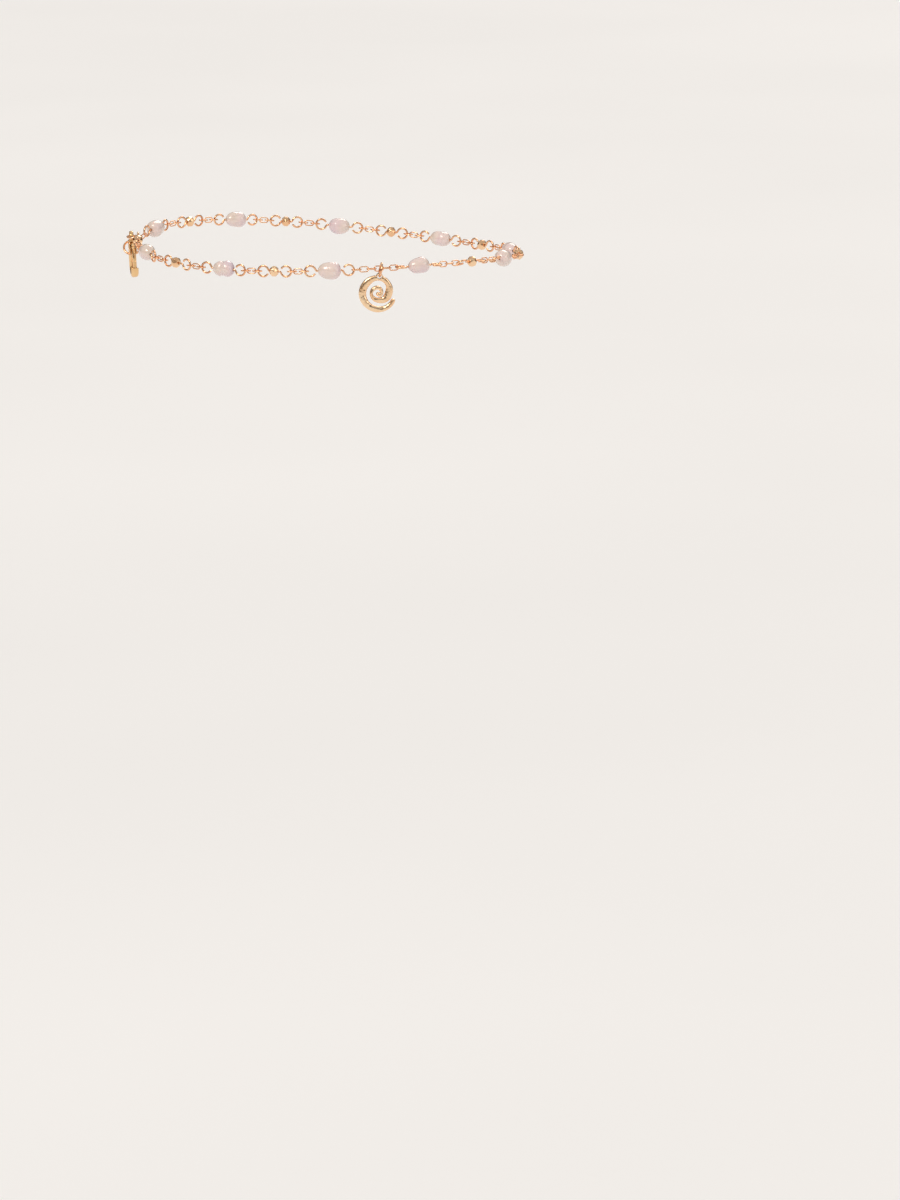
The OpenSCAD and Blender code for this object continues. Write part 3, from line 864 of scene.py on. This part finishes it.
def spiral_tree():
    """A band that winds inward: its middle radius and half width come from two curves over
    its length, its ends are rounded, and hammer marks lower its face."""
    turns = SPIRAL_TABLE[-1][0]
    middle = [(v / turns, (o + i) / 2 / SPIRAL_LARGEST) for v, o, i in SPIRAL_TABLE]
    half = [(v / turns, (o - i) / 2) for v, o, i in SPIRAL_TABLE]
    tree, given = new_tree(
        "winding_band",
        {
            "Steps": WHOLE,
            "Sides": WHOLE,
            "Start turn": FLOAT,
            "Whole turn": FLOAT,
            "Thickness": FLOAT,
            "Outer end": FLOAT,
            "Inner end": FLOAT,
            "Dent depth": FLOAT,
            "Dent size": FLOAT,
            "Worn way": "NodeSocketVector",
            "Seed": FLOAT,
            "Material": MATTER,
        },
    )

    # The middle line, from the band's outer end
    row = add(tree, "GeometryNodeMeshLine", {"Count": given["Steps"]}, mode="OFFSET")
    last = add(tree, MATH, [given["Steps"], 1.0], operation="SUBTRACT")
    share = add(tree, MATH, [add(tree, "GeometryNodeInputIndex"), last], operation="DIVIDE")
    reach = add(tree, CURVE, {"Factor": 1.0, "Value": share}, line=middle)
    radius = add(tree, MATH, [reach, SPIRAL_LARGEST], operation="MULTIPLY")
    wound = add(tree, MATH, [share, given["Whole turn"]], operation="MULTIPLY")
    angle = add(tree, MATH, [given["Start turn"], wound], operation="SUBTRACT")
    side = add(tree, MATH, [angle], operation="COSINE")
    rise = add(tree, MATH, [angle], operation="SINE")
    x = add(tree, MATH, [radius, side], operation="MULTIPLY")
    z = add(tree, MATH, [radius, rise], operation="MULTIPLY")
    stored = add(tree, MOVE, {"Geometry": row, "Position": add(tree, GATHER, {"X": x, "Z": z})})

    # Its half width, with each end rounded in a quarter circle over its own reach
    left = add(tree, MATH, [1.0, share], operation="SUBTRACT")
    ends = []
    for distance, label in ((share, "Outer end"), (left, "Inner end")):
        part = add(tree, MATH, [distance, given[label]], operation="DIVIDE", use_clamp=True)
        near = add(tree, MATH, [1.0, part], operation="SUBTRACT")
        square = add(tree, MATH, [near, near], operation="MULTIPLY")
        round_off = add(tree, MATH, [1.0, square], operation="SUBTRACT")
        ends.append(add(tree, MATH, [round_off], operation="SQRT"))
    both = add(tree, MATH, ends, operation="MULTIPLY")
    full = add(tree, MATH, [both, END_LEAST], operation="MAXIMUM")
    span = add(tree, CURVE, {"Factor": 1.0, "Value": share}, line=half)
    width = add(tree, MATH, [span, full], operation="MULTIPLY")
    for label, value in (("half_width", width), ("ends", full)):
        stored = add(
            tree,
            "GeometryNodeStoreNamedAttribute",
            {"Geometry": stored, "Name": label, "Value": value},
            data_type="FLOAT",
            domain="POINT",
        )
    wide = add(tree, NAMED, {"Name": "half_width"}, data_type="FLOAT")
    close = add(tree, NAMED, {"Name": "ends"}, data_type="FLOAT")
    path = add(tree, "GeometryNodeMeshToCurve", {"Mesh": stored})
    profile = add(tree, CIRCLE, {"Resolution": given["Sides"], "Radius": 1.0})
    band = add(
        tree, TUBE, {"Curve": path, "Profile Curve": profile, "Scale": wide, "Fill Caps": True}
    )

    # The round section is flattened towards its two faces
    here = add(tree, POSITION)
    parts = add(tree, APART, [here]).outputs
    level = add(tree, MATH, [parts["Y"], wide], operation="DIVIDE")
    size = add(tree, MATH, [level], operation="ABSOLUTE")
    bulge = add(tree, MATH, [size, FACE_POWER], operation="POWER")
    sign = add(tree, MATH, [level], operation="SIGN")
    faced = add(tree, MATH, [bulge, sign], operation="MULTIPLY")
    thick = add(tree, MATH, [faced, given["Thickness"]], operation="MULTIPLY")
    halved = add(tree, MATH, [close, 0.5], operation="MULTIPLY")
    height = add(tree, MATH, [thick, halved], operation="MULTIPLY")
    flat = add(tree, GATHER, {"X": parts["X"], "Y": height, "Z": parts["Z"]})
    shaped = add(tree, MOVE, {"Geometry": band, "Position": flat})

    # The marks lie on the two faces, not on the rims, and most of them towards the worn way
    pitch = add(tree, MATH, [1.0, given["Dent size"]], operation="DIVIDE")
    marks = add(
        tree,
        NOISE,
        {"Vector": here, "W": given["Seed"], "Scale": pitch, "Detail": 1.0},
        noise_dimensions="4D",
    )
    toward = add(tree, VECTOR_MATH, [here, given["Worn way"]], operation="DOT_PRODUCT")
    worn = add(
        tree,
        SPREAD,
        {
            "Value": toward.outputs["Value"],
            "From Min": WORN_FROM,
            "From Max": WORN_TO,
            "To Min": WORN_LEAST,
            "To Max": 1.0,
        },
    )
    normal = add(tree, "GeometryNodeInputNormal")
    outward = add(tree, APART, [normal]).outputs["Y"]
    turned = add(tree, MATH, [outward], operation="ABSOLUTE")
    on_face = add(tree, MATH, [turned, turned], operation="MULTIPLY")
    above = add(tree, MATH, [marks, DENT_LEVEL], operation="SUBTRACT", use_clamp=True)
    deep = add(tree, MATH, [above, given["Dent depth"]], operation="MULTIPLY")
    dent = add(tree, MATH, [deep, worn], operation="MULTIPLY")
    dent = add(tree, MATH, [dent, on_face], operation="MULTIPLY")
    pull = add(tree, MATH, [dent, -1.0], operation="MULTIPLY")
    inward = add(tree, VECTOR_MATH, {0: normal, "Scale": pull}, operation="SCALE")
    hammered = add(tree, MOVE, {"Geometry": shaped, "Offset": inward})
    close_tree(tree, hammered, given["Material"])
    return tree


def fuse(made, others, voxel):
    """Makes one surface round overlapping solids."""
    put_back(opened(made.data, *[part.data for part in others]), made.data)
    for part in others:
        bpy.data.objects.remove(part)
    soften(made, voxel, 0)


def cut(made, tool):
    """Cuts a tool out of a piece, and removes the tool."""
    modifier = made.modifiers.new("cut", "BOOLEAN")
    modifier.operation = "DIFFERENCE"
    modifier.solver = "EXACT"
    modifier.object = tool
    settle(made)
    bpy.data.objects.remove(tool)


def soften(made, voxel, rounds):
    """Voxel remesh and smoothing, which rounds a casting's edges."""
    remesh = made.modifiers.new("remesh", "REMESH")
    remesh.mode = "VOXEL"
    remesh.voxel_size = voxel
    if rounds:
        smooth = made.modifiers.new("smooth", "SMOOTH")
        smooth.factor = 0.5
        smooth.iterations = rounds
    settle(made)


def rod(name, radius, height, at):
    """A short round rod along Y."""
    work = bmesh.new()
    bmesh.ops.create_cone(
        work,
        cap_ends=True,
        segments=48,
        radius1=radius,
        radius2=radius,
        depth=height,
        matrix=Matrix.Translation(at) @ turned_about("X", 90),
    )
    return new_object(name, put_back(work, bpy.data.meshes.new(name)))


def spiral_tip():
    """The rounded tip that the band's inner end curls on to."""
    turns, outer, inner = SPIRAL_TABLE[-1]
    turn = SPIRAL_START - turns
    start = (outer + inner) / 2 * Vector((cos(turn), 0, sin(turn)))
    tall = SPIRAL_THICK / (2 * TIP_RADIUS)
    work = bmesh.new()
    for at in (start, TIP_REACH):
        bmesh.ops.create_uvsphere(
            work,
            u_segments=32,
            v_segments=20,
            radius=TIP_RADIUS,
            matrix=Matrix.Translation(at) @ Matrix.Diagonal((1, tall, 1, 1)),
        )
    found = bmesh.ops.convex_hull(work, input=work.verts)
    inner_points = {
        point
        for point in found["geom_interior"] + found["geom_unused"]
        if isinstance(point, bmesh.types.BMVert)
    }
    bmesh.ops.delete(work, geom=list(inner_points), context="VERTS")
    mesh = put_back(work, bpy.data.meshes.new("tip"))
    face_outward(mesh)
    return new_object("tip", mesh)


def make_spiral():
    sizes = {
        "Steps": 460,
        "Sides": 30,
        "Start turn": math.radians(SPIRAL_START),
        "Whole turn": math.radians(SPIRAL_TABLE[-1][0]),
        "Thickness": SPIRAL_THICK,
        "Outer end": 0.01,
        "Inner end": 0.012,
        "Dent depth": 0.42,
        "Dent size": 0.9,
        "Worn way": (-0.7, 0.0, -0.7),
        "Seed": 3.0,
        "Material": cast_gold,
    }
    made = grow("spiral_cast", plain_mesh("start", [(0, 0, 0)]), spiral_tree(), sizes)
    ear_at = Vector((ear_side, 0, -ear_low)) - spiral_centre
    ear = rod("ear", EAR_BORE + EAR_RIM, EAR_THICK, ear_at)
    fuse(made, [spiral_tip(), ear], SPIRAL_VOXEL)
    cut(made, rod("bore", EAR_BORE, 3 * SPIRAL_THICK, ear_at))
    soften(made, SPIRAL_VOXEL, SPIRAL_ROUNDS)
    made.data.transform(Matrix.Translation(spiral_centre))
    made.data.transform(at_drop)
    dress(made, cast_gold, "spiral", ["pendant_spiral"])


# The claw
# Its outline in its own frame, outward and up from its eye, as the model has it
CLAW_HEAD = ((0.15, -1.75), 1.45)
CLAW_BELLY = ((0, -6.4), 2.25)
OPEN_HEAD = ((0.1, -3.8), 0.75)
OPEN_BELLY = ((-0.05, -6.4), 1.15)
CLAW_EYE = (1.28, 0.8)
CLAW_HALF, SLOT_HALF = 0.8, 0.5
SLOT_OUT, SLOT_LOW, SLOT_HIGH = 0.05, -3.5, -0.85
# A rim has the least share of the full thickness, which is reached this far in
RIM_ROUND = 0.6
RIM_LEAST = 0.3
WALL_LEAST = 0.6
# The eye's rim is narrow, so it domes faster. The slot's walls give way to the plate over
# these lengths: outward and at its upper end, and at its lower end
EYE_DOME = 1.6
SLOT_EASE, SLOT_LOW_EASE = 0.4, 0.5
PIVOT = Vector((0.95, 0, -1.95))
RIVET_RADIUS, RIVET_RISE = 0.42, 0.1


def from_capsule(u, w, head, belly):
    """Distance from the hull of two circles, below zero inside it."""
    (hu, hw), head_radius = head
    (bu, bw), belly_radius = belly
    su, sw = bu - hu, bw - hw
    length = math.hypot(su, sw)
    lean = (belly_radius - head_radius) / length
    along = ((u - hu) * su + (w - hw) * sw) / length
    aside = abs((u - hu) * sw - (w - hw) * su) / length
    rise = math.sqrt(1 - lean * lean)
    foot = along + aside * lean / rise
    if foot < 0:
        return math.hypot(along, aside) - head_radius
    if foot > length:
        return math.hypot(along - length, aside) - belly_radius
    return aside * rise - along * lean - head_radius


def eased(value, low, high):
    """From 0 at low to 1 at high, smooth at both."""
    share = min(1.0, max(0.0, (value - low) / (high - low)))
    return share * share * (3 - 2 * share)


def domed(deep, least):
    """Share of the full thickness at a depth from 0 at the rim to 1, round as a quarter circle."""
    return least + (1 - least) * math.sqrt(1 - (1 - deep) ** 2)


def claw_place():
    own = Matrix((claw_out, claw_across, claw_up)).transposed().to_4x4()
    own.translation = claw_spot
    return own


def round_claw(mesh):
    """Draws the plate's two faces in towards its rims, as a casting's are, and keeps the slot.
    Then adds the two heads of the rivet that the lever turns on."""
    own = claw_place()
    mesh.transform(own.inverted())
    for vertex in mesh.vertices:
        u, v, w = vertex.co
        around = math.hypot(u, w)
        outer = -from_capsule(u, w, CLAW_HEAD, CLAW_BELLY)
        inner = from_capsule(u, w, OPEN_HEAD, OPEN_BELLY)
        eye = EYE_DOME * min(CLAW_EYE[0] - around, around - CLAW_EYE[1])
        full = domed(min(1.0, max(0.0, min(outer, inner), eye) / RIM_ROUND), RIM_LEAST)
        slot = eased(u, SLOT_OUT - SLOT_EASE, SLOT_OUT)
        slot *= eased(w, SLOT_LOW - SLOT_LOW_EASE, SLOT_LOW)
        slot *= 1 - eased(w, SLOT_HIGH, SLOT_HIGH + SLOT_EASE)
        wall = WALL_LEAST + (1 - WALL_LEAST) * full
        walled = min(abs(v), SLOT_HALF) + max(0.0, abs(v) - SLOT_HALF) * wall
        vertex.co.y = math.copysign(abs(v) * full * (1 - slot) + walled * slot, v)
    work = opened(mesh)
    for side in (-1, 1):
        head_at = Matrix.Translation(PIVOT + Vector((0, side * CLAW_HALF, 0)))
        bmesh.ops.create_uvsphere(
            work,
            u_segments=32,
            v_segments=16,
            radius=RIVET_RADIUS,
            matrix=head_at @ Matrix.Diagonal((1, RIVET_RISE / RIVET_RADIUS, 1, 1)),
        )
    put_back(work, mesh)
    mesh.transform(own)


# The lever's outline in the claw's own frame
LEVER_LINE = [
    (0.35, -2.15),
    (0.4, -1.6),
    (0.85, -1.3),
    (1.3, -1.2),
    (1.9, -0.95),
    (2.5, -0.95),
    (2.75, -1.25),
    (2.6, -1.6),
    (1.95, -1.85),
    (1.75, -2.3),
    (2.05, -3.2),
    (2.18, -4.3),
    (2.18, -6.8),
    (1.4, -6.8),
    (1.3, -4.3),
    (1.1, -3.3),
    (0.75, -2.6),
]
LEVER_ROUND = 0.36
LEVER_LEAST = 0.25
# Points closer than this are one
DOUBLE = 0.0005


def from_line(u, w, line):
    """Distance to the nearest side of a closed outline."""
    gaps = []
    for (au, aw), (bu, bw) in zip(line, line[1:] + line[:1]):
        du, dw = bu - au, bw - aw
        share = min(1.0, max(0.0, ((u - au) * du + (w - aw) * dw) / (du * du + dw * dw)))
        gaps.append(math.hypot(u - au - share * du, w - aw - share * dw))
    return min(gaps)


def round_lever(mesh):
    """Draws the lever's two faces in towards its outline."""
    own = claw_place()
    mesh.transform(own.inverted())
    for vertex in mesh.vertices:
        u, v, w = vertex.co
        vertex.co.y = v * domed(min(1.0, from_line(u, w, LEVER_LINE) / LEVER_ROUND), LEVER_LEAST)
    mesh.transform(own)


def make_casting(node, body, voxel, rounds, form):
    """The model's own piece, given a casting's form and rounded edges."""
    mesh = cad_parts[node].data.copy()
    mesh.transform(Matrix.Scale(1 / MM, 4))
    work = opened(mesh)
    bmesh.ops.remove_doubles(work, verts=work.verts, dist=DOUBLE)
    put_back(work, mesh)
    # The model's own marks don't belong on a new piece
    for name in [a.name for a in mesh.attributes if a.name.startswith("_")]:
        mesh.attributes.remove(mesh.attributes[name])
    made = new_object(node + "_cast", mesh)
    soften(made, voxel, 1)
    form(made.data)
    soften(made, voxel, rounds)
    dress(made, claw_gold, body, [node])


# All pieces
pearl_number = bead_number = 0
for unit in units:
    if unit.kind == "pearl":
        pearl_number += 1
        name, pin_name = f"pearl_{pearl_number}", f"pearl_pin_{pearl_number}"
        form = PEARL_FORMS[pearl_number - 1]
        piece = new_object("nacre_" + name, pearl_mesh(name, form, pearl_number))
        piece.data.transform(seat(unit.middle, unit.along))
        dress(piece, nacre, "chain", [name])
    else:
        bead_number += 1
        name, pin_name = f"gold_bead_{bead_number}", f"bead_pin_{bead_number}"
        away = 1 if unit.place > DROP_ALONG else -1
        piece = new_object("cut_" + name, bead_mesh(name))
        bevel = piece.modifiers.new("edges", "BEVEL")
        bevel.width = BEAD_EDGE
        bevel.segments = BEAD_EDGE_STEPS
        bevel.limit_method = "ANGLE"
        bevel.angle_limit = math.radians(BEAD_FLAT)
        settle(piece)
        centre = unit.middle + away * (BEAD_SLIDE + unit.longer) * unit.along
        piece.data.transform(seat(centre, unit.along))
        dress(piece, cut_gold, "chain", [name], smooth=False)
    pin_mesh = strand_mesh(pin_name, [pin_strand(unit)])
    sizes = {"Wire": PIN_WIRE, "Sides": PIN_SIDES, "Material": wire_gold}
    pin_piece = grow("wire_" + pin_name, pin_mesh, wires, sizes)
    dress(pin_piece, wire_gold, "chain", [pin_name])

seen = len(SEEN_UNITS)
near_rows = [row for i in range(seen - 1) for row in unit_run(i)]
far_rows = [row for i in range(seen - 1, len(units) - 1) for row in unit_run(i)]
far_rows += link_run(
    end_eye_wire, end_ring_wire, END_LINKS, PIN_WIRE, RING_WIRE, 0, end_ring_turn
)
links_piece("oval_links_near", "near_links", near_rows)
links_piece("oval_links_far", "far_links", far_rows)

drop_ring_at = at_drop @ Matrix.Translation((0, 0, -DROP_SAG)) @ turned_about("Y", 90 + DROP_LEAN)
clasp_ring_at = seat(clasp_ring_spot, clasp_way)
end_ring_at = seat(end_ring_spot, end_way, plane_turn(end_way, claw_across) + 90)
ring_piece("jump_ring_drop", "pendant_ring", drop_ring_at, DROP_RING_RADIUS, cut=60, body="ring")
ring_piece("jump_ring_clasp", "clasp_ring", clasp_ring_at, CLASP_RING_RADIUS, cut=90, body="chain")
ring_piece("jump_ring_end", "end_ring", end_ring_at, END_RING_RADIUS, cut=60, body="chain")
make_spiral()
make_casting("clasp_body", "chain", voxel=0.04, rounds=9, form=round_claw)
make_casting("clasp_lever", "lever", voxel=0.028, rounds=12, form=round_lever)

# Floor, lights, camera
FLOOR_DROP = 190 * MM
FLOOR_HALF = 6.0


def make_board():
    # Matt painted board: a plain pale ground with hardly any tone
    material, tree, shader, place = new_material("board_painted_matt", {"Roughness": 0.85})
    mottle = add(tree, NOISE, {"Vector": place, "Scale": per_mm(400), "Detail": 2.0})
    tint = add(tree, RAMP, {"Fac": mottle}, stops=[(0.3, "#f2f4f6"), (0.7, "#f6f8fa")])
    join(tree, shader, {"Base Color": tint})
    return material


corners = [
    (side * FLOOR_HALF, depth * FLOOR_HALF, -FLOOR_DROP)
    for side, depth in ((-1, -1), (1, -1), (1, 1), (-1, 1))
]
floor = new_object("floor", plain_mesh("floor", corners, faces=[(0, 1, 2, 3)]))
floor.data.materials.append(make_board())


def soft_light(name, way, power, spread, code):
    """A broad light from that direction, the same all over the floor."""
    lamp = bpy.data.lights.new(name, "SUN")
    lamp.energy = power
    lamp.angle = math.radians(spread)
    lamp.color = linear(code)[:3]
    made = bpy.data.objects.new(name, lamp)
    made.location = way
    made.rotation_euler = Vector(way).to_track_quat("Z", "Y").to_euler()
    bpy.context.scene.collection.objects.link(made)


soft_light("key", (-0.5, -0.75, 0.85), power=1.25, spread=22, code="#fff3e6")
soft_light("fill", (0.9, -0.6, 0.4), power=0.4, spread=35, code="#fff8f2")
soft_light("rim", (0.25, 0.85, 0.7), power=0.8, spread=30, code="#fff6ee")

# Studio round the set: bright overhead, greyer at the level of the eye, which gives the
# polished metal its darker lines
world = bpy.data.worlds.new("studio")
world.use_nodes = True
room = world.node_tree
way = add(room, "ShaderNodeTexCoord").outputs["Generated"]
sky = add(
    room,
    RAMP,
    {"Fac": add(room, APART, [way]).outputs["Z"]},
    stops=[(0.0, "#5d544c"), (0.25, "#7b726a"), (0.55, "#f6f2ec"), (1.0, "#ffffff")],
)
join(room, room.nodes["Background"], {"Color": sky, "Strength": 0.6})
bpy.context.scene.world = world
bpy.context.scene.view_settings.view_transform = "Standard"

# The camera stands where the photograph's stood: 1.1 m away and 8.5 degrees above level
CAMERA_FAR = 1.1
CAMERA_RISE = 8.464
FOCAL_PIXELS = 5174.07
ORIGIN_PIXEL = (329.878, 246.566)
IMAGE_SIZE = (900, 1200)
SENSOR = 36
camera_data = bpy.data.cameras.new("camera")
camera_data.sensor_width = SENSOR
camera_data.lens = SENSOR * FOCAL_PIXELS / IMAGE_SIZE[1]
camera_data.clip_start, camera_data.clip_end = 0.05, 20
camera = bpy.data.objects.new("camera", camera_data)
forward = Vector((0, cos(CAMERA_RISE), -sin(CAMERA_RISE)))
upward = Vector((0, sin(CAMERA_RISE), cos(CAMERA_RISE)))
camera.location = -CAMERA_FAR * forward
aim = (
    forward
    + Vector((1, 0, 0)) * (IMAGE_SIZE[0] / 2 - ORIGIN_PIXEL[0]) / FOCAL_PIXELS
    - upward * (IMAGE_SIZE[1] / 2 - ORIGIN_PIXEL[1]) / FOCAL_PIXELS
)
camera.rotation_mode = "QUATERNION"
camera.rotation_quaternion = aim.to_track_quat("-Z", "Y")
bpy.context.scene.collection.objects.link(camera)
bpy.context.scene.camera = camera
